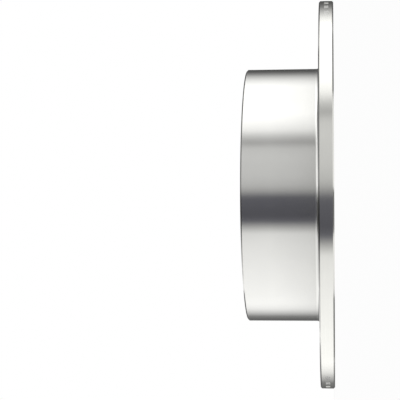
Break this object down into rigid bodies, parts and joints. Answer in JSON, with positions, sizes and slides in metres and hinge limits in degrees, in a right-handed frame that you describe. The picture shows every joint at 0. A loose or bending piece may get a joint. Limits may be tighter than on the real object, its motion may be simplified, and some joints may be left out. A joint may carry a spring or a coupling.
{
  "type": "blind flange",
  "caption": "Stainless blind flange in collar form: a thin blank plate with a serrated sealing face and a short pipe hub welded to its back.",
  "frame": {"origin": "centre of the flat sealing face, on which the part lies", "axes": "+Z along the axis from the sealing face towards the open end of the hub; X and Y any two radii"},
  "size_m": [0.0921, 0.092, 0.0205],
  "materials": {
    "turned_steel": "fine turned, semi-bright",
    "hub_steel": "fine turned, semi-bright",
    "dressed_weld": "dressed and polished",
    "weld_bead": "as welded, brushed clean"
  },
  "bodies": {
    "root": {"blind_plate": "turned_steel", "hub_ring": "hub_steel", "outer_weld": "dressed_weld", "inner_weld": "weld_bead"}
  },
  "joints": []
}
